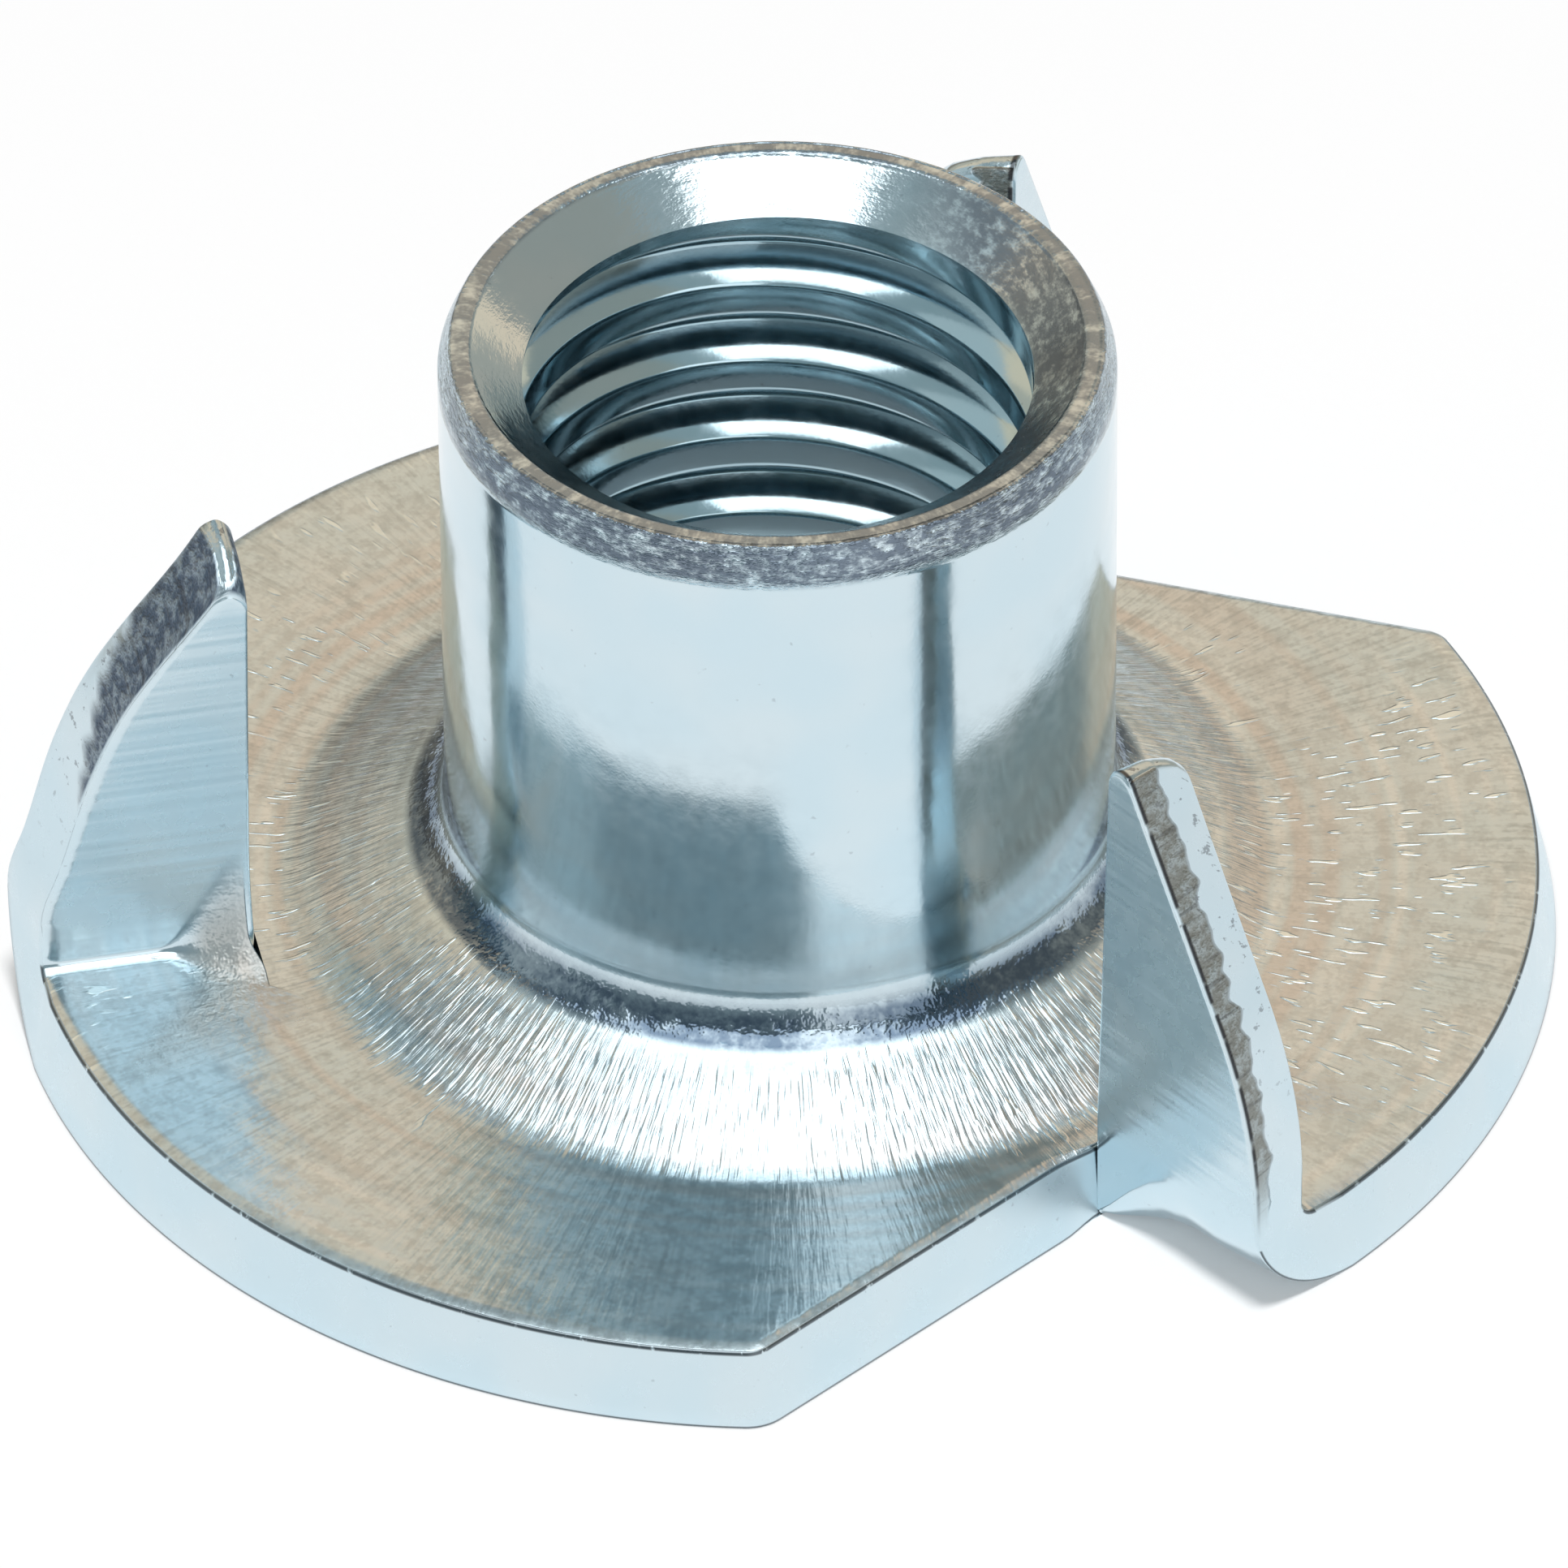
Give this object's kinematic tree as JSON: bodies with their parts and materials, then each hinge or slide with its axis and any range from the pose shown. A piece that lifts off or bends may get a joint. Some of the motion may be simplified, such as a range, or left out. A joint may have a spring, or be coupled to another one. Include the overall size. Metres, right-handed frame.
{
  "type": "tee nut",
  "caption": "Tee nut for wood: a round sheet-steel flange with a raised shoulder, a short threaded barrel, and pointed prongs folded up beside it.",
  "frame": {"origin": "centre of the flange's underside, on the thread axis", "axes": "+Z along the thread axis, from the flange up the barrel; +X is the direction in the flange's plane from which the first prong's fold lies 48.5 degrees clockwise, seen from above"},
  "size_m": [0.0253, 0.0254, 0.0122],
  "materials": {
    "plating": "bright zinc plating, satin, finely scratched"
  },
  "bodies": {
    "root": {"tee_nut": "plating"}
  },
  "joints": []
}
